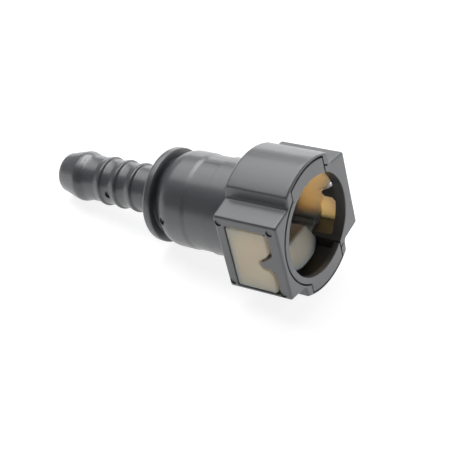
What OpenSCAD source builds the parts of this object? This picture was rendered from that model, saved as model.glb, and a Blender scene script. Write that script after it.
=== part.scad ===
// Quick connect plug for fluid lines: a moulded body with a barbed hose stem, a squeeze-to-release
// clip behind two windows, a C-shaped ring in the mouth and two O-rings that seal on a round tube.
// Drawn with the bore along X, the mouth at x = 0 and facing +X, the ears on Y and the round shells
// on Z. lay() tips the whole part by rest_tilt, because it lies on its lower shell and its stem.

/* [Tube] */
// Radius of the tube end that plugs in
tube_r = 3.945; // [3.7:0.005:4.1]
// Radius of the bead on the tube
bead_r = 5.5; // [5.2:0.05:5.8]
// Gap between the tube and the bore that guides it
tube_gap = 0.055; // [0.02:0.005:0.08]

/* [Head] */
// Depth of the head from the mouth face to its back
head_depth = 10.0; // [9:0.1:13]
// Outer radius of the two round shells
shell_r = 9.9; // [9.6:0.05:10.6]
// Half width of the round shells
shell_half_w = 5.3; // [5:0.1:5.8]
// How much wider the shells are at their roots
shell_draft = 0.2; // [0.1:0.05:0.4]
// Rounding of the shells' long edges
shell_edge_round = 0.4; // [0.2:0.05:0.6]
// Thickness of the round shells
shell_wall = 1.2; // [0.9:0.05:1.4]
// Thickness of the shells' flat sides
shell_side_wall = 1.1; // [0.8:0.05:1.4]
// Fillet at the front edge of the shells
shell_front_fillet = 0.25; // [0.1:0.05:0.3]
// Fillet at the back edge of the shells
shell_back_fillet = 0.8; // [0.3:0.05:1.2]
// Distance from the bore axis to the flat of an ear
ear_y = 9.0; // [8.7:0.05:10]
// Half height of an ear at its flat
ear_half_h = 6.05; // [5.9:0.05:6.4]
// How much higher an ear is at its root
ear_draft = 0.65; // [0.2:0.05:0.8]
// Edge rounding of the ears
ear_round = 0.4; // [0.2:0.05:0.6]
// Fillet between an ear and a shell
corner_fillet = 0.5; // [0.2:0.05:0.8]

/* [Chamber] */
// Radius of the round chamber that holds the clip
chamber_r = 7.3; // [7:0.05:7.5]
// Thickness of the wall behind the chamber
back_wall = 1.4; // [1.2:0.05:2]
// Depth at which the chamber opens into the ears
front_wall = 1.6; // [1.2:0.05:1.8]
// Wall above and below the chamber in the ears
ear_wall = 0.55; // [0.4:0.05:0.8]

/* [Windows] */
// Bar in front of a window
front_bar = 1.8; // [1.4:0.05:2.2]
// Bar behind a window
back_bar = 1.45; // [1.2:0.05:2]
// Bar above a window
top_bar = 1.4; // [0.9:0.05:1.8]
// Bar below a window
bottom_bar = 0.45; // [0.4:0.05:0.9]
// Corner radius of the windows
window_round = 0.5; // [0.3:0.05:0.8]
// Length of the tooth that points back into the window
tooth_len = 1.5; // [1:0.05:1.8]
// Half height of the tooth at its tip
tooth_tip_half_h = 0.35; // [0.25:0.02:0.5]
// Half height of the tooth at its root
tooth_root_half_h = 1.1; // [0.9:0.05:1.4]
// Height of the tooth's middle
tooth_z = -0.3; // [-0.8:0.05:0.4]
// Gap between the tooth and the notch in the pad
notch_gap = 0.2; // [0.1:0.01:0.3]

/* [Mould marks] */
// Radius of the pin marks on the ears
ear_mark_r = 0.45; // [0.3:0.01:0.5]
// Radius of the pin marks on the stem and the shoulder
side_mark_r = 0.6; // [0.4:0.01:0.7]
// Depth of the pin marks
mark_depth = 0.2; // [0.05:0.01:0.3]

/* [Front ring] */
// Radius of the mouth in the front ring
mouth_r = 7.15; // [6.9:0.05:7.3]
// Thickness of the front ring
ring_t = 0.9; // [0.7:0.05:1.2]
// Width of the ring on the ear side
ring_w = 0.93; // [0.7:0.01:1]
// Rim of the shells round the wings
shell_rim = 0.3; // [0.25:0.01:0.4]
// Gap round the ring on the ear side
ring_gap = 0.24; // [0.1:0.01:0.3]
// Gap between the wings and the rims
wing_gap = 0.22; // [0.1:0.01:0.4]
// Gap at the ends of the wings
wing_end_gap = 0.15; // [0.05:0.01:0.3]
// How far the ring has settled downward in its seat
ring_drop = 0.07; // [0:0.01:0.09]

/* [Clip] */
// How deep the push pads sit in the windows
pad_recess = 0.2; // [0:0.05:0.4]
// Thickness of the push pads
pad_t = 1.3; // [1:0.05:1.6]
// Gap between the push pads and the windows
pad_gap = 0.17; // [0.1:0.01:0.25]
// Edge rounding of the push pads
pad_round = 0.4; // [0.2:0.05:0.45]
// How much thinner a pad is in its lower front corner, on the inside
lobe_step = 0.45; // [0.1:0.05:0.6]
// How far that step leans back from the notch to the pad's lower end
lobe_lean = 2.2; // [1:0.1:3]
// Gap between the latch jaws and the chamber
jaw_gap = 0.1; // [0.05:0.01:0.2]
// Gap beside the latch jaws
jaw_side_gap = 0.15; // [0.1:0.01:0.3]
// Room between the front ring and the jaws
jaw_front_gap = 2.2; // [1.5:0.05:2.5]
// Length of a jaw from its front edge to the back of the catch
jaw_len = 2.6; // [2.2:0.05:2.8]
// Gap between the catch and the tube
catch_gap = 0.455; // [0.3:0.005:0.7]
// Length of the flat on the catch
catch_flat = 0.5; // [0.3:0.05:0.8]
// Gap between the bead and the room behind the catch
bead_gap = 0.25; // [0.1:0.05:0.3]
// Thickness of the flexing corners
flexure_t = 0.85; // [0.6:0.05:1]
// Distance from the back of the windows to the front edge of the flexing corners
flexure_depth = 3.9; // [3:0.1:4.5]

/* [Barrel] */
// Outer radius of the barrel's raised bands
barrel_r = 6.97; // [6.85:0.01:7.2]
// Length of the front band
front_band_len = 4.35; // [3.5:0.05:5.5]
// Length of the shallow waist
waist_len = 3.7; // [3:0.05:4.5]
// Depth of the waist
waist_depth = 0.13; // [0.05:0.01:0.3]
// Length of the back band
back_band_len = 2.4; // [1.5:0.05:3.5]
// Length of the rounded shoulder
shoulder_len = 2.65; // [2:0.05:3]
// Radius of the shoulder's arc
shoulder_arc_r = 3.5; // [3.2:0.1:4.2]
// Length of the neck behind the shoulder
neck_len = 0.45; // [0.3:0.05:1]
// Radius of the neck
neck_r = 5.6; // [5.2:0.05:5.7]

/* [Flange] */
// Thickness of the flange
flange_t = 1.4; // [1.2:0.05:2]
// Outer radius of the flange
flange_r = 6.9; // [6.5:0.05:7.2]
// Rounding of the flange's back edge
flange_round = 0.55; // [0.2:0.05:0.6]

/* [Hose stem] */
// Length of the stem behind the flange
stem_len = 19.4; // [18:0.1:24]
// Radius of the stem between its ridges
stem_r = 3.38; // [3.2:0.01:3.5]
// How far the bulb stands out of the stem
bulb_h = 0.42; // [0.3:0.01:0.7]
// Distance from the tip to the bulb's crest
bulb_len = 4.0; // [3.5:0.05:4.8]
// How far the ridges stand out of the stem
ridge_h = 0.3; // [0.15:0.01:0.5]
// Distance from the flange to the nearest ridge
ridge_start = 4.95; // [3:0.05:5.5]
// Distance from ridge to ridge
ridge_pitch = 2.9; // [2.5:0.05:3.1]
// Length of a ridge's ramp
ridge_ramp = 1.1; // [0.6:0.05:1.6]
// Length of a ridge's step
ridge_step = 0.35; // [0.1:0.05:0.6]
// Rounding of the tip's outer edge
tip_round = 0.8; // [0.3:0.05:1]
// Radius of the passage through the stem
flow_r = 2.4; // [2:0.05:2.5]

/* [Seals] */
// Length of the bore that guides the tube's end
guide_len = 4.4; // [3.5:0.1:5]
// Wall between the guide's end and the flange
guide_end_wall = 0.95; // [0.5:0.05:1.5]
// Room for the O-rings outside the guide's radius
seal_room = 1.45; // [1.2:0.05:1.5]
// Length of the spacer between the O-rings
spacer_len = 1.9; // [1.2:0.1:2.4]
// How much wider the spacer and the bush are than the guide
spacer_relief = 0.08; // [0.04:0.01:0.2]
// Gap round the seals
seal_gap = 0.02; // [0.01:0.01:0.05]
// Thickness of the rim on the bush
bush_rim_t = 0.7; // [0.4:0.05:0.9]
// How far the rim stands out of the bush
bush_rim_h = 0.55; // [0.3:0.05:0.7]

/* [Rest] */
// Angle at which the bore rises when the part lies on its lower shell and its stem
rest_tilt = 10.75; // [0:0.05:20]
// How deep the mould's gate is trimmed at the back edge of the lower shell, where the part rests
gate_trim = 0.2; // [0.05:0.05:0.25]

/* [Hidden] */
$fn = 96;
eps = 0.01;
far = 30;
head_back = -head_depth;
chamber_back = head_back + back_wall;
pocket_r = shell_r - shell_wall;
pocket_half_w = shell_half_w - shell_side_wall;
ear_room_h = ear_half_h - ear_wall;
window_front = -front_bar;
window_back = head_back + back_bar;
window_top = ear_half_h - top_bar;
window_bottom = -ear_half_h + bottom_bar;
tooth_tip = window_front - tooth_len;
pad_y = ear_y - pad_recess;
pad_in_y = pad_y - pad_t;
pad_front = window_front - pad_gap;
pad_back = window_back + pad_gap;
pad_top = window_top - pad_gap;
pad_bottom = window_bottom + pad_gap;
ring_r = mouth_r + ring_w;
wing_r = shell_r - shell_rim - wing_gap;
wing_half_w = pocket_half_w - wing_end_gap;
jaw_r = chamber_r - jaw_gap;
jaw_half_w = pocket_half_w - jaw_side_gap;
jaw_flank_h = sqrt(jaw_r * jaw_r - jaw_half_w * jaw_half_w);
jaw_front = -ring_t - jaw_front_gap;
catch_back = jaw_front - jaw_len;
catch_front = catch_back + catch_flat;
catch_z = tube_r + catch_gap;
bead_room_r = bead_r + bead_gap;
flexure_front = window_back + flexure_depth;
waist_front = head_back - front_band_len;
waist_back = waist_front - waist_len;
shoulder_front = waist_back - back_band_len;
shoulder_back = shoulder_front - shoulder_len;
flange_front = shoulder_back - neck_len;
flange_back = flange_front - flange_t;
tip_x = flange_back - stem_len;
bulb_x = tip_x + bulb_len;
bulb_r = stem_r + bulb_h;
ridge_r = stem_r + ridge_h;
guide_r = tube_r + tube_gap;
guide_back = flange_front + guide_end_wall;
guide_front = guide_back + guide_len;
seal_bore_r = guide_r + seal_room;
o_ring_section_r = (seal_room - 2 * seal_gap) / 2;
o_ring_r = guide_r + seal_room / 2;
o_ring_pocket = 2 * (o_ring_section_r + seal_gap);
spacer_back = guide_front + o_ring_pocket;
spacer_front = spacer_back + spacer_len;
bush_back = spacer_front + o_ring_pocket;
bush_rim_r = seal_bore_r + bush_rim_h;
ear_marks = [[-1.42, 5.08], [-1.2, -5.4], [-9.25, 4.95]];
body_colour = [0.16, 0.16, 0.17];
ring_colour = [0.2, 0.2, 0.2];
clip_colour = [0.71, 0.66, 0.59];
seal_colour = [0.08, 0.08, 0.08];
bush_colour = [0.2, 0.2, 0.21];

// Tips the part about the centre of the mouth so that it lies as it comes to rest
module lay() {
    rotate([0, -rest_tilt, 0])
        children();
}

// Turns an outline of radius against station into a solid round the bore axis
module turned() {
    rotate([0, 90, 0])
        rotate_extrude()
            children();
}

// Extrudes an outline drawn in Y and Z along X, from station a to station b
module along_x(a, b) {
    translate([a, 0, 0])
        rotate([90, 0, 90])
            linear_extrude(b - a)
                children();
}

// Extrudes an outline drawn in X and Z along Y, from a to b
module along_y(a, b) {
    translate([0, b, 0])
        rotate([90, 0, 0])
            linear_extrude(b - a)
                children();
}

// Cylinder round the bore axis, from station a to station b
module rod(r, a, b) {
    translate([a, 0, 0])
        rotate([0, 90, 0])
            cylinder(h = b - a, r = r);
}

// Rectangle from corner a to corner b with round corners
module round_rect(a, b, r) {
    translate([a[0] + r, a[1]])
        square([b[0] - a[0] - 2 * r, b[1] - a[1]]);
    translate([a[0], a[1] + r])
        square([b[0] - a[0], b[1] - a[1] - 2 * r]);
    for (x = [a[0] + r, b[0] - r], y = [a[1] + r, b[1] - r])
        translate([x, y])
            circle(r);
}

// Ring between two radii, kept where |y| is under half_w
module band_outline(r_in, r_out, half_w) {
    intersection() {
        difference() {
            circle(r_out);
            circle(r_in);
        }
        square([2 * half_w, 4 * r_out], center = true);
    }
}

// The half of an outline on the -Y side
module near_half() {
    intersection() {
        children();
        translate([-far, -far])
            square([far, 2 * far]);
    }
}

// Outline of the shells in Y and Z: sides that lean in towards the crown, and round long edges
module shell_outline() {
    overlap = 0.02;
    edge_y = shell_half_w - shell_edge_round;
    edge_centre_r = shell_r - shell_edge_round + overlap;
    edge_z = sqrt(edge_centre_r * edge_centre_r - edge_y * edge_y);
    root_w = shell_half_w + shell_draft;
    root_h = ear_half_h;
    square([2 * edge_y * shell_r / (shell_r - shell_edge_round), far], center = true);
    for (y = [-edge_y, edge_y], z = [-edge_z, edge_z])
        translate([y, z])
            circle(shell_edge_round);
    polygon([
        [-shell_half_w, edge_z], [shell_half_w, edge_z], [root_w, root_h], [root_w, -root_h],
        [shell_half_w, -edge_z], [-shell_half_w, -edge_z], [-root_w, -root_h], [-root_w, root_h]
    ]);
}

// The two round shells: a turned drum with filleted rims, cut to the shells' outline
module shells() {
    f = shell_front_fillet;
    b = shell_back_fillet;
    intersection() {
        turned()
            union() {
                translate([0, head_back])
                    square([shell_r - b, head_depth - f]);
                translate([0, head_back + b])
                    square([shell_r, head_depth - b - f]);
                translate([0, -f - eps])
                    square([shell_r - f, f + eps]);
                translate([shell_r - b, head_back + b])
                    circle(b);
                translate([shell_r - f, -f])
                    circle(f);
            }
        along_x(head_back - 1, 1)
            shell_outline();
    }
}

// The mould's trimmed gate: a small flat across the back edge of the lower shell, level at rest
module gate_flat() {
    b = shell_back_fillet;
    size = 4;
    translate([head_back + b, 0, b - shell_r])
        rotate([0, rest_tilt, 0])
            translate([-size / 2, -size, gate_trim - b - size])
                cube([size, 2 * size, size]);
}

// The two ears: one block through the head with round edges, lower at its flats than at its roots
module ears() {
    r = ear_round;
    hull()
        for (x = [head_back + r, -r], s = [-1, 1], t = [-1, 1]) {
            translate([x, s * (ear_y - r), t * (ear_half_h - r)])
                sphere(r, $fn = 24);
            translate([x, s * (shell_half_w - 1), t * (ear_half_h + ear_draft - r)])
                sphere(r, $fn = 24);
        }
}

// Concave fillets in the four corners between the ears and the shells
module corner_fillets() {
    f = corner_fillet;
    root_h = ear_half_h + ear_draft - 0.12;
    root_w = shell_half_w + shell_draft - 0.08;
    for (s = [0, 1], t = [0, 1])
        mirror([0, s, 0])
            mirror([0, 0, t])
                along_x(head_back + ear_round, -ear_round)
                    difference() {
                        translate([root_w - 0.2, root_h - 0.2])
                            square([f + 0.2, f + 0.2]);
                        translate([root_w + f, root_h + f])
                            circle(f);
                    }
}

// Everything between the head and the stem, as radius against station
module barrel_outline() {
    waist_edge = 0.12;
    waist_ramp = 0.5;
    polygon([
        [0, head_back + 1], [barrel_r, head_back + 1], [barrel_r, waist_front + waist_edge],
        [barrel_r - waist_depth, waist_front], [barrel_r - waist_depth, waist_back + waist_ramp],
        [barrel_r, waist_back], [barrel_r, shoulder_front], [0, shoulder_front]
    ]);
    // rounded shoulder
    intersection() {
        translate([barrel_r - shoulder_arc_r, shoulder_front])
            circle(shoulder_arc_r);
        translate([0, shoulder_back])
            square([barrel_r, shoulder_len + eps]);
    }
    // neck
    translate([0, flange_front - eps])
        square([neck_r, neck_len + 2 * eps]);
    // flange with a round back edge
    translate([0, flange_back])
        square([flange_r - flange_round, flange_t]);
    translate([0, flange_back + flange_round])
        square([flange_r, flange_t - flange_round]);
    translate([flange_r - flange_round, flange_back + flange_round])
        circle(flange_round);
}

// One ridge with its crest at station x: a long ramp towards the tip and a short step
module ridge_outline(x) {
    crest = 0.12;
    polygon([
        [0, x - ridge_ramp], [stem_r, x - ridge_ramp], [ridge_r - 0.08, x - 2.2 * crest],
        [ridge_r, x - crest], [ridge_r, x], [ridge_r - 0.05, x + crest],
        [stem_r, x + ridge_step + crest], [0, x + ridge_step + crest]
    ]);
}

// The hose stem, as radius against station
module stem_outline() {
    bulb_fall = 2.2;
    root_h = 0.35;
    tip_r = bulb_r - 0.95;
    // shank with a small cone at the flange
    polygon([
        [0, flange_back + eps], [stem_r + 2 * root_h, flange_back + eps],
        [stem_r + root_h, flange_back - root_h], [stem_r, flange_back - 3 * root_h],
        [stem_r, bulb_x + bulb_fall], [0, bulb_x + bulb_fall]
    ]);
    for (i = [0:2])
        ridge_outline(flange_back - ridge_start - i * ridge_pitch);
    // bulb: a cone from the tip, a round crest and a short fall to the shank
    polygon([
        [0, tip_x + tip_round], [tip_r, tip_x + tip_round], [bulb_r - 0.3, bulb_x - 1.5],
        [bulb_r - 0.07, bulb_x - 0.5], [bulb_r, bulb_x - 0.1], [bulb_r, bulb_x + 0.15],
        [bulb_r - 0.1, bulb_x + 0.6], [bulb_r - 0.3, bulb_x + 1.1], [stem_r + 0.04, bulb_x + 1.75],
        [stem_r, bulb_x + bulb_fall], [0, bulb_x + bulb_fall]
    ]);
    // rounded tip
    translate([0, tip_x])
        square([tip_r - tip_round, tip_round + eps]);
    translate([tip_r - tip_round, tip_x + tip_round])
        circle(tip_round);
}

// Tooth on the front bar, in X and Z, grown by g all round
module tooth_outline(g) {
    polygon([
        [window_front + 1, tooth_z + tooth_root_half_h + g],
        [window_front - 0.1, tooth_z + tooth_root_half_h + g],
        [tooth_tip - g, tooth_z + tooth_tip_half_h],
        [tooth_tip - g, tooth_z - tooth_tip_half_h],
        [window_front - 0.1, tooth_z - tooth_root_half_h - g],
        [window_front + 1, tooth_z - tooth_root_half_h - g]
    ]);
}

// Outline of a window in X and Z, with the tooth left standing and a relief in one corner
module window_outline() {
    relief_r = 0.28;
    difference() {
        round_rect([window_back, window_bottom], [window_front, window_top], window_round);
        tooth_outline(0);
    }
    translate([window_back + relief_r, window_top - relief_r / 2])
        circle(relief_r, $fn = 24);
}

// Clip chamber: the round part, the pockets in the shells, the room in the ears and the windows
module chamber_hollows() {
    inner_y = sqrt(chamber_r * chamber_r - window_bottom * window_bottom) - 0.1;
    rod(chamber_r, chamber_back, 1);
    along_x(chamber_back, eps - ring_t)
        band_outline(1, pocket_r, pocket_half_w);
    along_x(chamber_back, -front_wall)
        square([2 * pad_in_y, 2 * ear_room_h], center = true);
    for (s = [0, 1])
        mirror([0, s, 0])
            along_y(inner_y, ear_y + 1)
                window_outline();
}

// Seat of the front ring in the mouth face
module ring_seat() {
    hook_w = 0.65;
    hook_t = 0.2;
    seat_r = ring_r + ring_gap;
    along_x(-ring_t, 1) {
        band_outline(1, wing_r + wing_gap, pocket_half_w);
        near_half()
            circle(seat_r);
        // slits where the seat runs on past the wings, on the far side
        band_outline(seat_r - hook_t, seat_r, pocket_half_w + hook_w);
    }
}

// Bores on the axis, from the bush's seat to the hose end
module axial_hollows() {
    cone_len = 1.6;
    lead_in = 1.25;
    rod(bush_rim_r + seal_gap, chamber_back - bush_rim_t - seal_gap, chamber_back + eps);
    rod(seal_bore_r, guide_front, chamber_back);
    rod(guide_r, guide_back, guide_front + eps);
    turned()
        polygon([
            [0, guide_back - cone_len], [flow_r, guide_back - cone_len], [guide_r, guide_back],
            [guide_r, guide_back + eps], [0, guide_back + eps]
        ]);
    rod(flow_r, tip_x - 1, guide_back);
    // flared hose end
    turned()
        polygon([
            [0, tip_x - 1], [flow_r + lead_in, tip_x - 1], [flow_r, tip_x + lead_in - 1], [0, tip_x + lead_in - 1]
        ]);
}

// Round mark sunk into a face that looks along -Y
module pin_mark(p, r) {
    translate(p)
        rotate([90, 0, 0])
            cylinder(h = 2 * mark_depth, r = r, center = true, $fn = 32);
}

module connector_body() {
    color(body_colour)
        lay()
            difference() {
                union() {
                    shells();
                    ears();
                    corner_fillets();
                    turned()
                        union() {
                            barrel_outline();
                            stem_outline();
                        }
                }
                chamber_hollows();
                ring_seat();
                axial_hollows();
                gate_flat();
                for (p = ear_marks, s = [-1, 1])
                    pin_mark([p[0], s * ear_y, p[1]], ear_mark_r);
                pin_mark([flange_back - ridge_start - 1.45 * ridge_pitch, -stem_r, 0], side_mark_r);
                pin_mark([shoulder_front - 1, -barrel_r + 0.15, 0], side_mark_r);
            }
}

// C-shaped ring that closes the front of the chamber, open at the far ear
module front_ring() {
    color(ring_colour)
        lay()
            translate([0, 0, -ring_drop])
                along_x(-ring_t, 0) {
                    band_outline(mouth_r, wing_r, wing_half_w);
                    near_half()
                        band_outline(mouth_r, ring_r, ring_r);
                }
}

// Push pad for the ear on the +Y side
module pad() {
    difference() {
        intersection() {
            along_y(pad_in_y, pad_y)
                round_rect([pad_back, pad_bottom], [pad_front, pad_top], pad_round);
            along_x(pad_back - 1, pad_front + 1)
                round_rect([pad_in_y - 1, pad_bottom], [pad_y, pad_top], pad_round);
            translate([0, 0, pad_bottom - 1])
                linear_extrude(pad_top - pad_bottom + 2)
                    round_rect([pad_back, pad_in_y - 1], [pad_front, pad_y], pad_round);
        }
        along_y(0, far)
            tooth_outline(notch_gap);
        // thinner lower front corner
        along_y(0, pad_in_y + lobe_step)
            polygon([
                [tooth_tip - notch_gap, tooth_z], [1, tooth_z], [1, pad_bottom - 0.2],
                [tooth_tip - notch_gap - lobe_lean, pad_bottom - 0.2]
            ]);
    }
}

module left_pad() {
    color(clip_colour)
        lay()
            mirror([0, 1, 0])
                pad();
}

module right_pad() {
    color(clip_colour)
        lay()
            pad();
}

// Latch jaw for the upper side: a ramp that leads the bead in, a catch, and room behind it
module jaw() {
    edge = 0.25;
    difference() {
        intersection() {
            along_y(-jaw_half_w, jaw_half_w)
                polygon([
                    [jaw_front, jaw_r + 1], [jaw_front, jaw_r - edge], [catch_front, catch_z],
                    [pad_back, catch_z], [pad_back, jaw_r + 1]
                ]);
            rod(jaw_r, pad_back - 1, 0);
        }
        rod(bead_room_r, pad_back - 1, catch_back);
    }
}

module upper_jaw() {
    color(clip_colour)
        lay()
            jaw();
}

module lower_jaw() {
    color(clip_colour)
        lay()
            mirror([0, 0, 1])
                jaw();
}

// Flexing corner in Y and Z, from a jaw's flank to the end of a pad at height pad_end, round inside
module flexure_outline(pad_end) {
    top = ear_room_h - pad_gap;
    jaw_top = jaw_flank_h - jaw_gap;
    bend_r = pad_in_y - jaw_half_w + 0.15;
    bend_z = jaw_top - flexure_t - bend_r;
    lip_z = bend_z + bend_r / 3;
    difference() {
        polygon([
            [jaw_half_w, jaw_top], [jaw_half_w + 0.65, top], [pad_in_y - 1.3, top],
            [pad_in_y - 0.5, min(pad_end + 0.35, top)], [pad_in_y, pad_end], [pad_in_y, lip_z], [jaw_half_w, lip_z]
        ]);
        translate([pad_in_y - bend_r, bend_z])
            circle(bend_r);
    }
}

module clip_flexures() {
    color(clip_colour)
        lay()
            for (s = [0, 1])
                mirror([0, s, 0])
                    along_x(pad_back, flexure_front) {
                        flexure_outline(pad_top);
                        mirror([0, 1])
                            flexure_outline(min(-pad_bottom, ear_room_h - pad_gap));
                    }
}

// Bush that closes the seal bore behind the clip, with a rim in the chamber's back wall
module seal_bush() {
    front = chamber_back - seal_gap;
    lead_in = 0.6;
    color(bush_colour)
        lay()
            turned()
                difference() {
                    union() {
                        translate([0, bush_back])
                            square([seal_bore_r - seal_gap, front - bush_back]);
                        translate([0, front - bush_rim_t])
                            square([bush_rim_r, bush_rim_t]);
                    }
                    translate([0, bush_back - 1])
                        square([guide_r + spacer_relief, far]);
                    polygon([
                        [0, front - lead_in], [guide_r + spacer_relief, front - lead_in],
                        [guide_r + spacer_relief + lead_in + eps, front + eps], [0, front + eps]
                    ]);
                }
}

// O-ring that fills the pocket whose back end is at station x
module o_ring(x) {
    turned()
        translate([o_ring_r, x + o_ring_pocket / 2])
            circle(o_ring_section_r);
}

module front_o_ring() {
    color(seal_colour)
        lay()
            o_ring(spacer_front);
}

module seal_spacer() {
    inner_r = guide_r + spacer_relief;
    color(bush_colour)
        lay()
            turned()
                translate([inner_r, spacer_back])
                    square([seal_bore_r - seal_gap - inner_r, spacer_len]);
}

module rear_o_ring() {
    color(seal_colour)
        lay()
            o_ring(guide_front);
}

connector_body();
front_ring();
left_pad();
right_pad();
upper_jaw();
lower_jaw();
clip_flexures();
seal_bush();
front_o_ring();
seal_spacer();
rear_o_ring();
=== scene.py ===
"""Quick connect plug for fluid lines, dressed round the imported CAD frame.

Every mesh is drawn in millimetres with the bore along X and the mouth at x = 0, as the part is
dimensioned, and the matrix LIE then tips it to the way it lies on the table.
"""
import math

import bmesh
import bpy
import numpy as np
from mathutils import Matrix, Vector


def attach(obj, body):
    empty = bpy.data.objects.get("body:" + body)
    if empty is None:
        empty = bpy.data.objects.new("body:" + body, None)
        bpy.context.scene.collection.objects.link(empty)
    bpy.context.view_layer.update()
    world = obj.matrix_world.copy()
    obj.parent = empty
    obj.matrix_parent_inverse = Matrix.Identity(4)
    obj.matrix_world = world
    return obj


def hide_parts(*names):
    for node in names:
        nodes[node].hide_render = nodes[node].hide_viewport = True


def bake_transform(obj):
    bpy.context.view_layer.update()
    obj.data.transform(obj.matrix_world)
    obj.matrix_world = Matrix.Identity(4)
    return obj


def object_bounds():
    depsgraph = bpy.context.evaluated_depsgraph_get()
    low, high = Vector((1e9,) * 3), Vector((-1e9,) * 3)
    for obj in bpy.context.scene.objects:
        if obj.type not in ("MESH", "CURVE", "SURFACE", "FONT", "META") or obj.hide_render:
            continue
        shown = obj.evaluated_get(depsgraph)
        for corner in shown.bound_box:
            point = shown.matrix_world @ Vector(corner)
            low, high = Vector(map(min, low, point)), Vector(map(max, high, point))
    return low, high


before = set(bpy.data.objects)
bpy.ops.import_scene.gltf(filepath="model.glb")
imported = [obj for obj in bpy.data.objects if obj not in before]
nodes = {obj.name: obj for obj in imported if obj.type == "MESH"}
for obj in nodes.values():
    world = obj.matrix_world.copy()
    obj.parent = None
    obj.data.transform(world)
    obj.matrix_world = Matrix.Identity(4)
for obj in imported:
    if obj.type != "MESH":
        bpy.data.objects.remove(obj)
cad_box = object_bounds()


# Table, backdrop and light
# A white paper sweep under soft boxes overhead, behind and on the far side, as in a small product
# studio, with a brighter strip across the overhead one. The paper shows white to the camera and in
# gloss, and it still takes the part's soft shadow.
SWEEP_REACH, SWEEP_GAP = 3.0, 0.00002
PART_MIDDLE = Vector((-0.015, 0, 0))


def linear(hex_colour):
    """sRGB hex to the linear colour that the sockets take."""
    rgb = [int(hex_colour[i:i + 2], 16) / 255 for i in (1, 3, 5)]
    return [c / 12.92 if c <= 0.04045 else ((c + 0.055) / 1.055) ** 2.4 for c in rgb] + [1.0]


def node_in(tree, kind, links=None, **settings):
    """Adds one shader node. links maps an input to another node's output, settings set the rest."""
    made = tree.nodes.new(kind)
    for key, value in settings.items():
        if hasattr(made, key):
            setattr(made, key, value)
        else:
            made.inputs[key.replace("_", " ")].default_value = value
    for key, output in (links or {}).items():
        tree.links.new(output, made.inputs[key])
    return made


def new_material(name):
    """An empty node material and its output node."""
    made = bpy.data.materials.new(name)
    made.use_nodes = True
    made.node_tree.nodes.clear()
    return made, made.node_tree.nodes.new("ShaderNodeOutputMaterial")


bpy.context.scene.view_settings.view_transform = "Standard"

floor_z = cad_box[0][2] - SWEEP_GAP
sweep = bpy.data.meshes.new("paper_sweep")
sweep_corners = [(x * SWEEP_REACH, y * SWEEP_REACH, floor_z) for x, y in ((-1, -1), (1, -1), (1, 1), (-1, 1))]
sweep.from_pydata(sweep_corners, [], [(0, 1, 2, 3)])
paper = bpy.data.objects.new("paper_sweep", sweep)
bpy.context.scene.collection.objects.link(paper)

# Uncoated white paper is matt. What the camera or a gloss sees of it glows under a thin grey veil,
# which takes the shadow; the light that it throws back at the part is that of the plain sheet.
paper_white, out = new_material("white paper, uncoated")
tree = paper_white.node_tree
rays = node_in(tree, "ShaderNodeLightPath")
mirrored = node_in(tree, "ShaderNodeMath",
                   {0: rays.outputs["Is Glossy Ray"], 1: rays.outputs["Is Transmission Ray"]},
                   operation="MAXIMUM")
seen = node_in(tree, "ShaderNodeMath", {0: rays.outputs["Is Camera Ray"], 1: mirrored.outputs[0]},
               operation="MAXIMUM")
sheet = node_in(tree, "ShaderNodeBsdfDiffuse", Color=linear("#F2F2F2"))
glow = node_in(tree, "ShaderNodeEmission", Color=linear("#ECECEC"), Strength=1.0)
veil = node_in(tree, "ShaderNodeBsdfDiffuse", Color=linear("#A8A8A8"))
bright = node_in(tree, "ShaderNodeAddShader", {0: veil.outputs[0], 1: glow.outputs[0]})
pick = node_in(tree, "ShaderNodeMixShader", {0: seen.outputs[0], 1: sheet.outputs[0], 2: bright.outputs[0]})
tree.links.new(pick.outputs[0], out.inputs["Surface"])
sweep.materials.append(paper_white)

world = bpy.data.worlds.new("studio walls")
bpy.context.scene.world = world
world.use_nodes = True
tree = world.node_tree
tree.nodes.clear()
rays = node_in(tree, "ShaderNodeLightPath")
seen = node_in(tree, "ShaderNodeBackground", Color=linear("#ECECEC"), Strength=1.0)
walls = node_in(tree, "ShaderNodeBackground", Color=linear("#F2F4F8"), Strength=0.10)
pick = node_in(tree, "ShaderNodeMixShader",
               {0: rays.outputs["Is Camera Ray"], 1: walls.outputs[0], 2: seen.outputs[0]})
out = tree.nodes.new("ShaderNodeOutputWorld")
tree.links.new(pick.outputs[0], out.inputs["Surface"])


def soft_box(name, direction, away, width, height, radiance, width_along=(0.9, -0.4, 0)):
    """A soft box in a direction from the part, in metres, that looks at it and isn't seen itself."""
    lamp = bpy.data.lights.new(name, "AREA")
    lamp.shape = "RECTANGLE"
    lamp.size = width
    lamp.size_y = height
    lamp.energy = radiance * math.pi * width * height
    made = bpy.data.objects.new(name, lamp)
    out_axis = Vector(direction).normalized()
    height_axis = out_axis.cross(Vector(width_along)).normalized()
    turn = Matrix((height_axis.cross(out_axis), height_axis, out_axis)).transposed()
    made.matrix_world = Matrix.Translation(out_axis * away + PART_MIDDLE) @ turn.to_4x4()
    made.visible_camera = False
    bpy.context.scene.collection.objects.link(made)


soft_box("overhead_box", (-0.50, 0.24, 0.83), 0.8, 0.80, 0.86, 2.2)
soft_box("back_box", (-0.42, 0.90, 0.03), 0.9, 0.60, 0.26, 2.2)
soft_box("strip_box", (-0.42, 0.42, 0.80), 0.8, 1.0, 0.13, 8.0, (0, 0.82, -0.42))
soft_box("far_side_box", (0.05, 0.93, 0.36), 0.8, 0.50, 0.50, 2.3)
soft_box("mouth_box", (0.85, 0.45, 0.30), 0.8, 0.70, 0.50, 1.8)

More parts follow.
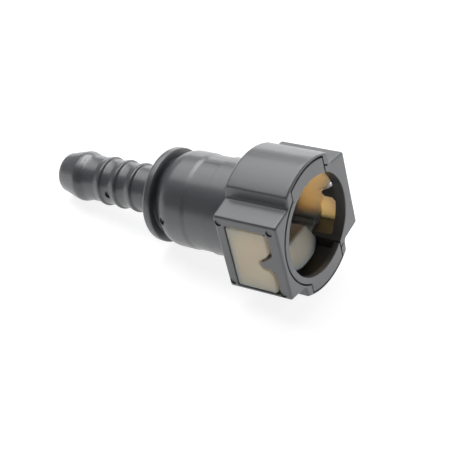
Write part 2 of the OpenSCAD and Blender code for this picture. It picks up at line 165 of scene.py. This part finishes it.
# Camera
# The photograph's viewpoint: a long lens, 0.18 m off, from the front left and above. Its place, turn
# and focal length were fitted to the outlines and the round edges of the real part.
camera = bpy.data.objects.new("camera", bpy.data.cameras.new("camera"))
bpy.context.scene.collection.objects.link(camera)
bpy.context.scene.camera = camera
camera.data.sensor_width = 36
camera.data.lens = 104.86
camera.data.clip_start = 0.01
camera.data.clip_end = 20
back = Vector((0.427429, -0.602381, 0.674123)).normalized()
right = Vector((0.842338, 0.536135, -0.055009)).normalized()
up = back.cross(right)
turn = Matrix((right, up, back)).transposed()
camera.matrix_world = Matrix.Translation(Vector((0.0652185, -0.1132461, 0.1198711))) @ turn.to_4x4()

# Connector body
# One injection moulding in black glass-filled nylon: a barbed hose stem, a flange, a barrel and the
# head with its two round shells and its two ears. The hollows come from cores and side slides.
TILT = math.radians(10.75)
LIE = Matrix.Rotation(-TILT, 4, "Y") @ Matrix.Scale(0.001, 4)
SHARP_ANGLE, NORMAL_WEIGHT = math.radians(32), 80


def solid(name, verts, faces):
    """A closed mesh object in the part's own millimetres, with its normals turned outward."""
    shape = bmesh.new()
    made = [shape.verts.new(v) for v in verts]
    for face in faces:
        shape.faces.new([made[i] for i in face])
    bmesh.ops.recalc_face_normals(shape, faces=shape.faces)
    data = bpy.data.meshes.new(name)
    shape.to_mesh(data)
    shape.free()
    obj = bpy.data.objects.new(name, data)
    bpy.context.scene.collection.objects.link(obj)
    return obj


def turned(name, outline, steps=144):
    """Solid of revolution round the bore from (station, radius) points; radius 0 closes an end."""
    verts, faces, index = [], [], []
    for x, r in outline:
        count = 1 if r < 1e-6 else steps
        index.append([len(verts) + k % count for k in range(steps)])
        angles = [2 * math.pi * k / steps for k in range(count)]
        verts += [(x, r * math.cos(a), r * math.sin(a)) for a in angles]
    last = len(outline) if outline[0][1] > 1e-6 else len(outline) - 1
    for i in range(last):
        p, q = index[i], index[(i + 1) % len(outline)]
        for k in range(steps):
            m = (k + 1) % steps
            corners = list(dict.fromkeys((p[k], p[m], q[m], q[k])))
            if len(corners) > 2:
                faces.append(corners)
    return solid(name, verts, faces)


def rounded(corners, segments=6):
    """Outline from corners (a, b, radius), each corner turned into an arc of that radius."""
    points = []
    for i, (a, b, r) in enumerate(corners):
        p = np.array([a, b], float)
        u = np.array(corners[i - 1][:2], float) - p
        v = np.array(corners[(i + 1) % len(corners)][:2], float) - p
        u /= np.linalg.norm(u)
        v /= np.linalg.norm(v)
        half = math.acos(max(-1, min(1, float(u @ v)))) / 2
        if r < 1e-6 or half > 1.56:
            points.append(p)
            continue
        middle = p + (u + v) / np.linalg.norm(u + v) * r / math.sin(half)
        start = p + u * r / math.tan(half) - middle
        stop = p + v * r / math.tan(half) - middle
        first = math.atan2(start[1], start[0])
        sweep_angle = math.atan2(start[0] * stop[1] - start[1] * stop[0], start @ stop)
        for k in range(segments + 1):
            t = first + sweep_angle * k / segments
            points.append(middle + r * np.array([math.cos(t), math.sin(t)]))
    return np.array(points)


def inward(points):
    """Vectors that move each side of a closed outline inward by the same step, less at sharp points."""
    before = points - np.roll(points, 1, 0)
    after = np.roll(points, -1, 0) - points
    normal_a = np.stack([-before[:, 1], before[:, 0]], 1) / np.linalg.norm(before, axis=1)[:, None]
    normal_b = np.stack([-after[:, 1], after[:, 0]], 1) / np.linalg.norm(after, axis=1)[:, None]
    area = (points[:, 0] * np.roll(points[:, 1], -1) - points[:, 1] * np.roll(points[:, 0], -1)).sum()
    step = normal_a + normal_b
    step /= np.maximum((step * step).sum(1) / 2, 0.35)[:, None]
    return step if area > 0 else -step


def moulded(name, points, along, low, high, low_round=0.0, high_round=0.0, steps=4):
    """A plate of the outline between two levels of one axis, with rounded end edges. A rounding
    stays under the outline's smallest outside corner; a negative one flares, as a cutter's does."""
    points = np.asarray(points, float)
    step = inward(points)
    rings = []
    for level, r, turn_in in ((low, low_round, 1), (high, high_round, -1)):
        arc_steps = [k / steps for k in range(steps + 1)] if r else [1]
        end = [(points + step * r * (1 - math.sin(math.pi / 2 * t)),
                level + turn_in * abs(r) * (1 - math.cos(math.pi / 2 * t))) for t in arc_steps]
        rings += end if turn_in > 0 else end[::-1]
    place = {"x": lambda a, b, h: (h, a, b), "y": lambda a, b, h: (a, h, b), "z": lambda a, b, h: (a, b, h)}
    verts = [place[along](a, b, h) for ring, h in rings for a, b in ring]
    n = len(points)
    faces = [list(range(n)), list(range((len(rings) - 1) * n, len(rings) * n))]
    for i in range(len(rings) - 1):
        low_ring, high_ring = i * n, (i + 1) * n
        for j in range(n):
            k = (j + 1) % n
            faces.append([low_ring + j, low_ring + k, high_ring + k, high_ring + j])
    return solid(name, verts, faces)


def combine(obj, other, operation):
    """Joins, cuts or intersects obj with another solid, which is used up."""
    step = obj.modifiers.new("join", "BOOLEAN")
    step.operation = operation
    step.solver = "EXACT"
    step.object = other
    bpy.context.view_layer.update()
    shape = bpy.data.meshes.new_from_object(obj.evaluated_get(bpy.context.evaluated_depsgraph_get()))
    obj.modifiers.clear()
    old = obj.data
    obj.data = shape
    bpy.data.meshes.remove(old)
    bpy.data.objects.remove(other)


def arc(centre, r, start, stop, steps=10):
    """Points on an arc round (station, radius), with angles in degrees from the bore's direction."""
    angles = [math.radians(start + (stop - start) * k / steps) for k in range(steps + 1)]
    return [(centre[0] + r * math.cos(a), centre[1] + r * math.sin(a)) for a in angles]


def finish_piece(obj, material, node_replaced, body_name):
    """Smooths a piece, lays it down, paints it and seats it on its CAD body."""
    obj.data.transform(LIE)
    for face in obj.data.polygons:
        face.use_smooth = True
    obj.data.set_sharp_from_angle(angle=SHARP_ANGLE)
    weight = obj.modifiers.new("normals", "WEIGHTED_NORMAL")
    weight.keep_sharp = True
    weight.weight = NORMAL_WEIGHT
    obj.data.materials.clear()
    obj.data.materials.append(material)
    if body_name:
        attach(obj, body_name)
    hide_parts(node_replaced)


# stem, flange and barrel, from the hose end to inside the head
STEM_R, RIDGE_R, BULB_R, FLANGE_R, NECK_R, BARREL_R, WAIST_R = 3.38, 3.68, 3.80, 6.90, 5.6, 6.97, 6.84
RIDGES, FLANGE_BACK, WAIST_BACK, WAIST_FRONT, INSIDE_HEAD = (-35.7, -32.8, -29.9), -24.95, -17.4, -14.44, -9.0
outer = [(-44.3, 0)] + arc((-43.45, 2.2), 0.85, 180, 112) + [
    (-43.1, 3.14), (-42.0, 3.44), (-41.2, 3.63), (-40.8, 3.73), (-40.55, 3.78), (-40.4, BULB_R),
    (-40.25, 3.79), (-39.65, 3.65), (-39.4, 3.55), (-39.1, 3.46), (-38.8, 3.41), (-38.4, STEM_R)]
for crest in RIDGES:
    outer += [(crest - 1.30, STEM_R), (crest - 1.05, STEM_R + 0.02), (crest - 0.75, STEM_R + 0.12),
              (crest - 0.45, STEM_R + 0.22), (crest - 0.22, RIDGE_R - 0.03), (crest - 0.05, RIDGE_R),
              (crest + 0.08, RIDGE_R - 0.02), (crest + 0.16, RIDGE_R - 0.08), (crest + 0.22, RIDGE_R - 0.18),
              (crest + 0.30, STEM_R + 0.04), (crest + 0.42, STEM_R)]
outer += [(-26.2, STEM_R)] + arc((-26.0, 4.40), 1.02, 270, 350, 6)[1:] + [(FLANGE_BACK, 4.6)]
outer += [(FLANGE_BACK, 6.1)] + arc((-24.40, 6.35), 0.55, 180, 90, 6)
outer += arc((-23.77, FLANGE_R - 0.22), 0.22, 90, 0, 4)
outer += [(-23.55, 5.75), (-23.45, NECK_R), (-23.15, NECK_R)]
outer += [(-23.1, 5.72)] + arc((-20.45, 3.47), 3.5, 139, 90, 12)
outer += [(-18.35, BARREL_R), (-18.15, BARREL_R), (-18.05, 6.96), (-17.55, 6.86), (WAIST_BACK, WAIST_R),
          (WAIST_FRONT, WAIST_R), (-14.38, 6.98), (-14.26, 7.01), (-14.12, BARREL_R),
          (INSIDE_HEAD, BARREL_R), (INSIDE_HEAD, 0)]
body = turned("connector_moulding", outer)

# head: the cross of shells and ears in Y and Z, with soft front and back edges
HEAD_BACK, SHELL_R, EAR_Y, EAR_H, BACK_EDGE, FRONT_EDGE = -10.0, 9.90, 9.0, 6.05, 0.36, 0.34
crown_turn = [math.radians(a) for a in np.arange(0, 31, 2.5)]
crown = [(SHELL_R * math.sin(a), SHELL_R * math.cos(a), 0) for a in crown_turn]
quarter = crown + [(5.32, 8.349, 0.42), (5.52, 6.60, 0.45), (EAR_Y, EAR_H, 0.42)]
right_side = quarter + [(y, -z, r) for y, z, r in reversed(quarter)]
cross = rounded(right_side[:-1] + [(-y, z, r) for y, z, r in reversed(right_side)][:-1])
combine(body, moulded("head", cross, "x", HEAD_BACK, 0.0, BACK_EDGE, FRONT_EDGE, 6), "UNION")

# the shells' larger back fillet, and the trimmed gate that the part rests on
BACK_FILLET, GATE_TRIM = 0.80, 0.20
FILLET_FRONT, FILLET_IN = HEAD_BACK + BACK_FILLET, SHELL_R - BACK_FILLET
fillet = turned("fillet_cutter", [(HEAD_BACK - 0.3, SHELL_R + 0.5), (HEAD_BACK - 0.3, FILLET_IN)] + arc(
    (FILLET_FRONT, FILLET_IN), BACK_FILLET + 0.005, 180, 90, 8) + [(FILLET_FRONT, SHELL_R + 0.5)])
shell_strip = [(-5.6, -12), (5.6, -12), (5.6, 12), (-5.6, 12)]
combine(fillet, moulded("shells_only", shell_strip, "x", -12, 0), "INTERSECT")
combine(body, fillet, "DIFFERENCE")
gate_corners = [(x, y, z) for x in (-2, 2) for y in (-4, 4) for z in (-4, GATE_TRIM - BACK_FILLET)]
box_faces = [(0, 1, 3, 2), (4, 6, 7, 5), (0, 4, 5, 1), (2, 3, 7, 6), (0, 2, 6, 4), (1, 5, 7, 3)]
gate = solid("gate_cutter", gate_corners, box_faces)
gate.data.transform(Matrix.Translation((FILLET_FRONT, 0, -FILLET_IN)) @ Matrix.Rotation(TILT, 4, "Y"))
combine(body, gate, "DIFFERENCE")

# chamber, shell pockets and the room in the ears
CHAMBER_R, CHAMBER_BACK, POCKET_R, POCKET_W, POCKET_FRONT = 7.30, -8.60, 8.70, 4.20, -0.85
EAR_ROOM_W, EAR_ROOM_H, EAR_ROOM_FRONT = 7.5, 5.5, -1.6
chamber = [(CHAMBER_BACK, 0), (CHAMBER_BACK, CHAMBER_R), (-0.16, CHAMBER_R), (-0.05, CHAMBER_R + 0.04),
           (0.02, CHAMBER_R + 0.16), (1.0, CHAMBER_R + 0.16), (1.0, 0)]
combine(body, turned("chamber_cutter", chamber), "DIFFERENCE")
pocket_side = math.asin(POCKET_W / POCKET_R)
pocket_turn = np.linspace(pocket_side, -pocket_side, 17)
pocket = [(POCKET_R * math.sin(a), POCKET_R * math.cos(a), 0) for a in pocket_turn]
pocket += [(-y, -z, r) for y, z, r in pocket]
combine(body, moulded("pocket_cutter", rounded(pocket), "x", CHAMBER_BACK, POCKET_FRONT), "DIFFERENCE")
ear_room = [(y * EAR_ROOM_W, z * EAR_ROOM_H, 0.6) for y, z in ((-1, -1), (1, -1), (1, 1), (-1, 1))]
combine(body, moulded("ear_room_cutter", rounded(ear_room), "x", CHAMBER_BACK, EAR_ROOM_FRONT), "DIFFERENCE")

# windows, each with the tooth in its front edge; a cutter flares at the ear's face
WINDOW_FRONT, WINDOW_IN, TOOTH_TIP, WINDOW_FLARE, CUT_PAST = -1.66, 4.6, -3.86, 0.14, 0.02
window = rounded([
    (-8.60, -5.55, 0.35), (WINDOW_FRONT, -5.6, 0.5), (WINDOW_FRONT, -2.05, 0.3), (-2.30, -1.25, 0.25),
    (-3.52, -1.22, 0.2), (TOOTH_TIP, -0.84, 0.2), (TOOTH_TIP, -0.40, 0.2), (-2.75, 0.20, 0.3),
    (WINDOW_FRONT, 1.10, 0.3), (WINDOW_FRONT, 4.65, 0.5), (-8.50, 4.62, 0.25)])
far_cutter = moulded("far_window_cutter", window, "y", WINDOW_IN, EAR_Y + CUT_PAST, 0, -WINDOW_FLARE)
combine(body, far_cutter, "DIFFERENCE")
near_cutter = moulded("near_window_cutter", window, "y", -EAR_Y - CUT_PAST, -WINDOW_IN, -WINDOW_FLARE, 0)
combine(body, near_cutter, "DIFFERENCE")

# seat of the front ring, with the slits that run on past the wings on the far side
SEAT_R, WING_SEAT_R, SLIT, RING_T, SEAT_FLARE = 8.32, 9.60, 0.20, 0.9, 0.07
SLIT_R = SEAT_R - SLIT


def across(r, y):
    """Height of a circle of radius r over the level y."""
    return math.sqrt(r * r - y * y)


def on_circle(r, past=0.0, corner=0.0):
    """Outline corner on the circle of radius r, a step past the pocket's side."""
    return POCKET_W + past, across(r, POCKET_W + past), corner


near_end = math.asin(across(SEAT_R, POCKET_W) / SEAT_R)
near_turn = np.linspace(-near_end, near_end, 33)[1:-1]
near_side = [(-SEAT_R * math.cos(a), SEAT_R * math.sin(a), 0) for a in near_turn]
wing = [(y, across(WING_SEAT_R, y), 0) for y in np.linspace(-POCKET_W, POCKET_W, 17)[1:-1]]
upper = [(-POCKET_W, across(SEAT_R, POCKET_W), 0.05), (-POCKET_W, across(WING_SEAT_R, POCKET_W), 0.1)]
upper += wing + [
    on_circle(WING_SEAT_R, corner=0.1), on_circle(SEAT_R), on_circle(SEAT_R, 0.32), on_circle(SEAT_R, 0.65),
    on_circle(SLIT_R, 0.60), on_circle(SLIT_R, 0.3), on_circle(SLIT_R), (POCKET_W, 5.0, 0)]
seat = near_side + upper + [(y, -z, r) for y, z, r in reversed(upper)]
combine(body, moulded("seat_cutter", rounded(seat, 4), "x", -RING_T, CUT_PAST, 0, -SEAT_FLARE), "DIFFERENCE")

# bores from the flared hose end to the bush's seat
FLOW_R, GUIDE_R, SEAL_R, BUSH_RIM_R = 2.4, 4.0, 5.45, 6.02
BORE_START, FLOW_END, GUIDE_BACK, SEAL_BACK, RIM_BACK, BORE_STOP = -45, -24.2, -22.6, -18.2, -9.32, -8.5
bore = [(BORE_START, 0), (BORE_START, 3.2), (-44.35, 3.0), (-44.2, 2.65), (-44.0, 2.45), (-43.8, FLOW_R),
        (FLOW_END, FLOW_R), (GUIDE_BACK, GUIDE_R), (SEAL_BACK, GUIDE_R), (SEAL_BACK, SEAL_R),
        (RIM_BACK, SEAL_R), (RIM_BACK, BUSH_RIM_R), (BORE_STOP, BUSH_RIM_R), (BORE_STOP, 0)]
combine(body, turned("bore_cutter", bore), "DIFFERENCE")

# ejector pin marks, and the witness line where the mould halves met on top of the barrel
EAR_MARKS = ((-1.25, 5.05), (-1.25, -5.3), (-9.30, 4.95), (-9.35, -5.1))
EAR_MARK_R, EAR_MARK_DEPTH, BARREL_MARK_R, MARK_EDGE = 0.5, 0.20, 0.6, 0.08
LINE_FROM, LINE_TO, LINE_DEPTH = 0.40, 0.48, 0.05


def pin_cutter(x, y, z, r, depth):
    """A short round pin that sinks a mark with a soft edge into a face looking along -Y or +Y."""
    circle = [(x + r * math.cos(a), z + r * math.sin(a)) for a in np.linspace(0, 2 * math.pi, 25)[:-1]]
    if y < 0:
        return moulded("pin_cutter", circle, "y", y - CUT_PAST, y + depth, -MARK_EDGE, 0)
    return moulded("pin_cutter", circle, "y", y - depth, y + CUT_PAST, 0, -MARK_EDGE)


for side in (-1, 1):
    for x, z in EAR_MARKS:
        combine(body, pin_cutter(x, side * EAR_Y, z, EAR_MARK_R, EAR_MARK_DEPTH), "DIFFERENCE")
combine(body, pin_cutter(-34.1, -STEM_R, 0.15, BARREL_MARK_R, 0.30), "DIFFERENCE")
combine(body, pin_cutter(-21.35, -6.86, 0.70, BARREL_MARK_R, 0.42), "DIFFERENCE")
for start, stop, r in ((-17.5, -14.4, WAIST_R), (-14.3, -10.2, BARREL_R)):
    line = [(LINE_FROM, r - LINE_DEPTH), (LINE_TO, r - LINE_DEPTH), (LINE_TO, r + 0.3), (LINE_FROM, r + 0.3)]
    combine(body, moulded("witness_cutter", line, "x", start, stop), "DIFFERENCE")

# Glass-filled nylon from a spark-eroded tool: black, satin, with a fine sandy grain of about 0.05 mm
# that is drawn at 0.2 mm and a faint unevenness of 2 mm, under a thin skin of clear resin that
# shines more than the glass below.
black_nylon, out = new_material("glass-filled nylon, moulded satin black")
tree = black_nylon.node_tree
place = node_in(tree, "ShaderNodeTexCoord")
grain = node_in(tree, "ShaderNodeTexNoise", {"Vector": place.outputs["Object"]}, Scale=4500.0, Detail=3.0,
                Roughness=0.7)
cloud = node_in(tree, "ShaderNodeTexNoise", {"Vector": place.outputs["Object"]}, Scale=450.0, Detail=3.0)
tone = node_in(tree, "ShaderNodeMixRGB", {"Fac": cloud.outputs["Fac"]}, Color1=linear("#404245"),
               Color2=linear("#484A4E"))
sheen = node_in(tree, "ShaderNodeMapRange", {"Value": cloud.outputs["Fac"]}, To_Min=0.48, To_Max=0.58)
waves = node_in(tree, "ShaderNodeBump", {"Height": cloud.outputs["Fac"]}, Strength=0.60, Distance=0.00008)
relief = node_in(tree, "ShaderNodeBump", {"Height": grain.outputs["Fac"], "Normal": waves.outputs["Normal"]},
                 Strength=0.60, Distance=0.00003)
shader = node_in(tree, "ShaderNodeBsdfPrincipled",
                 {"Base Color": tone.outputs["Color"], "Roughness": sheen.outputs["Result"],
                  "Normal": relief.outputs["Normal"]},
                 IOR=1.62, Coat_Weight=0.8, Coat_Roughness=0.24, Coat_IOR=1.53)
tree.links.new(shader.outputs[0], out.inputs["Surface"])
finish_piece(body, black_nylon, "connector_body", "housing")

# Front ring
# A C-shaped ring in black nylon, open at the far ear. It snaps into the mouth face and keeps the
# clip in, and it has settled a little downward in its seat.
MOUTH_R, RING_R, WING_R, WING_W, RING_DROP = 7.15, 8.08, 9.38, 4.05, 0.07
WING_CORNER, RING_BACK_EDGE, RING_FRONT_EDGE = 0.18, 0.05, 0.14

wing = [(y, across(WING_R, y), 0) for y in np.linspace(WING_W, -WING_W, 17)[1:-1]]
near_end = math.asin(across(RING_R, WING_W) / RING_R)
near_turn = np.linspace(near_end, -near_end, 33)[1:-1]
near_side = [(-RING_R * math.cos(a), RING_R * math.sin(a), 0) for a in near_turn]
mouth_end = math.atan2(across(MOUTH_R, WING_W), WING_W)
mouth_turn = np.linspace(-mouth_end, mouth_end - 2 * math.pi, 81)[1:-1]
mouth = [(MOUTH_R * math.cos(a), MOUTH_R * math.sin(a), 0) for a in mouth_turn]
upper = [(WING_W, across(MOUTH_R, WING_W), WING_CORNER), (WING_W, across(WING_R, WING_W), WING_CORNER)]
upper += wing + [(-WING_W, across(WING_R, WING_W), WING_CORNER), (-WING_W, across(RING_R, WING_W), 0.1)]
ring = rounded(upper + near_side + [(y, -z, r) for y, z, r in reversed(upper)] + mouth, 4)
ring[:, 1] -= RING_DROP
ring_piece = moulded("front_ring_piece", ring, "x", -RING_T, 0.0, RING_BACK_EDGE, RING_FRONT_EDGE)
finish_piece(ring_piece, black_nylon, "front_ring", "housing")

# Push pads
# The two sides of the retainer clip, one springy moulding in unpigmented nylon. Each pad fills a
# window, is notched round the tooth and is thinner in its lower front corner.
PAD_OUT, PAD_IN, PAD_BACK, PAD_FRONT, PAD_FOOT, NOTCH_END = 8.94, 7.50, -8.52, -2.20, -5.50, -4.04
RIM, INNER_RIM, LOBE_STEP, LIP_OVERLAP = 0.20, 0.08, 0.30, 0.3
CLIP_BACK, LIP_Z, FLEX_FRONT, BEND_R, BEND_Y, BEND_Z = -8.38, 4.48, -4.65, 3.60, 3.90, 1.41

# Unpigmented nylon is milky: light goes a millimetre or two into it and comes out warmer.
natural_nylon, out = new_material("unpigmented nylon, moulded satin")
tree = natural_nylon.node_tree
place = node_in(tree, "ShaderNodeTexCoord")
cloud = node_in(tree, "ShaderNodeTexNoise", {"Vector": place.outputs["Object"]}, Scale=350.0, Detail=3.0)
tone = node_in(tree, "ShaderNodeMixRGB", {"Fac": cloud.outputs["Fac"]}, Color1=linear("#F2D6BC"),
               Color2=linear("#F5DEC8"))
relief = node_in(tree, "ShaderNodeBump", {"Height": cloud.outputs["Fac"]}, Strength=0.1, Distance=0.00002)
shader = node_in(tree, "ShaderNodeBsdfPrincipled",
                 {"Base Color": tone.outputs["Color"], "Normal": relief.outputs["Normal"]},
                 Roughness=0.42, IOR=1.53, Subsurface_Weight=1.0, Subsurface_Scale=0.0045,
                 Subsurface_Radius=(1.0, 0.76, 0.55))
tree.links.new(shader.outputs[0], out.inputs["Surface"])

pad_outline = rounded([
    (PAD_BACK, PAD_FOOT, 0.35), (PAD_FRONT, PAD_FOOT, 0.45), (PAD_FRONT, -2.50, 0.4), (-2.76, -1.66, 0.35),
    (-3.62, -1.52, 0.34), (NOTCH_END, -0.95, 0.34), (NOTCH_END, -0.32, 0.34), (-2.90, 0.40, 0.4),
    (PAD_FRONT, 1.28, 0.35), (PAD_FRONT, LIP_Z, 0.45), (CLIP_BACK, LIP_Z, 0.35)])
lobe = [(-3.5, -0.55), (-1.0, -0.3), (-1.0, -5.8), (-5.75, -5.8)]
lip_turn = np.linspace(math.asin((LIP_Z - BEND_Z) / BEND_R), math.radians(3), 21)
lip = [(BEND_Y + BEND_R * math.cos(a), BEND_Z + BEND_R * math.sin(a)) for a in lip_turn]
lip = np.array(lip + [(PAD_IN + LIP_OVERLAP, lip[-1][1]), (PAD_IN + LIP_OVERLAP, LIP_Z)])
for side, name, low, high, rounds in ((-1, "left", -PAD_OUT, -PAD_IN, (RIM, INNER_RIM)),
                                      (1, "right", PAD_IN, PAD_OUT, (INNER_RIM, RIM))):
    pad = moulded(name + "_push_pad_piece", pad_outline, "y", low, high, *rounds)
    cut = sorted((side * (PAD_IN - 0.5), side * (PAD_IN + LOBE_STEP)))
    combine(pad, moulded("lobe_cutter", lobe, "y", *cut), "DIFFERENCE")
    for up_side in (1, -1):
        combine(pad, moulded("lip", lip * (side, up_side), "x", CLIP_BACK, FLEX_FRONT), "UNION")
    finish_piece(pad, natural_nylon, name + "_pad", name + "_push_pad")

# Latch jaws
# The top and bottom of the clip, in the same moulding: a ramp that the tube's bead pushes open, and
# a catch that drops in behind the bead.
JAW_R, JAW_W, JAW_TOP, JAW_FRONT, JAW_EDGE = 7.20, 4.05, 8.2, -3.10, 0.12
RAMP_Z, CATCH_Z, CATCH_FRONT, BEAD_ROOM_R, BEAD_ROOM_FRONT = 6.95, 4.40, -5.2, 5.75, -5.7

for flip, name in ((1, "upper"), (-1, "lower")):
    side_view = rounded([(JAW_FRONT, JAW_TOP, 0), (JAW_FRONT, RAMP_Z, 0.2), (CATCH_FRONT, CATCH_Z, 0.25),
                         (CLIP_BACK, CATCH_Z, 0), (CLIP_BACK, JAW_TOP, 0)])
    side_view[:, 1] *= flip
    jaw = moulded(name + "_jaw_piece", side_view, "y", -JAW_W, JAW_W, JAW_EDGE, JAW_EDGE, 3)
    combine(jaw, turned("jaw_back", [(-9, 0), (-9, JAW_R), (0, JAW_R), (0, 0)]), "INTERSECT")
    bead_room = [(-9, 0), (-9, BEAD_ROOM_R), (BEAD_ROOM_FRONT, BEAD_ROOM_R), (BEAD_ROOM_FRONT, 0)]
    combine(jaw, turned("bead_room", bead_room), "DIFFERENCE")
    finish_piece(jaw, natural_nylon, name + "_jaw", name + "_latch")

# Flexing corners
# The four thin corners of the clip. Each runs from a jaw's flank to a pad's lip, and in the real clip it
# bends as the pads are pressed; here each is drawn in two halves, one at the jaw and one at the pad.
HALF_STEPS, CORNER_MIDDLE = 10, -6.5
CORNER_STEPS = 2 * HALF_STEPS + 1
turn_in = np.linspace(math.radians(87.6), lip_turn[0], CORNER_STEPS)
inner_side = np.stack([BEND_Y + BEND_R * np.cos(turn_in), BEND_Z + BEND_R * np.sin(turn_in)], 1)
knots = np.array([(4.05, 5.86), (4.70, 5.35), (5.40, 5.32), (6.20, 5.28), (6.95, 4.84), (PAD_IN, LIP_Z)])
steps_out = np.concatenate([[0], np.cumsum(np.linalg.norm(np.diff(knots, axis=0), axis=1))])
outer_side = np.stack([np.interp(np.linspace(0, steps_out[-1], CORNER_STEPS), steps_out, knots[:, i])
                       for i in (0, 1)], 1)

for y_side, pad_name in ((-1, "left"), (1, "right")):
    for up_side, jaw_name in ((1, "upper"), (-1, "lower")):
        halves = ((0, jaw_name + "_latch", (4.95, 5.0), (4.05, 5.0)),
                  (HALF_STEPS, pad_name + "_push_pad", (5.27, 5.08), (5.72, 4.44)))
        for first, follows, still, moving in halves:
            half = slice(first, first + HALF_STEPS + 1)
            strip = np.concatenate([inner_side[half], outer_side[half][::-1]]) * (y_side, up_side)
            piece_name = "_".join((pad_name, jaw_name, "corner_to", follows))
            piece = moulded(piece_name, strip, "x", CLIP_BACK, FLEX_FRONT)
            finish_piece(piece, natural_nylon, "clip_flexures", None)
            start, end = [LIE @ Vector((CORNER_MIDDLE, y * y_side, z * up_side)) for y, z in (still, moving)]
            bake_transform(piece)

# Seals
# Two O-rings in black nitrile rubber on a spacer, held in the barrel by a pressed-in bush of the
# same black nylon as the front ring. They show only from straight in front, where the rubber is the
# dullest and darkest thing in the bore.
rubber, out = new_material("nitrile rubber, moulded black")
tree = rubber.node_tree
shader = node_in(tree, "ShaderNodeBsdfPrincipled", Base_Color=linear("#242424"), Roughness=0.55, IOR=1.52)
tree.links.new(shader.outputs[0], out.inputs["Surface"])
for name, finish in (("seal_bush", black_nylon), ("seal_spacer", black_nylon),
                     ("front_o_ring", rubber), ("rear_o_ring", rubber)):
    nodes[name].data.materials.clear()
    nodes[name].data.materials.append(finish)
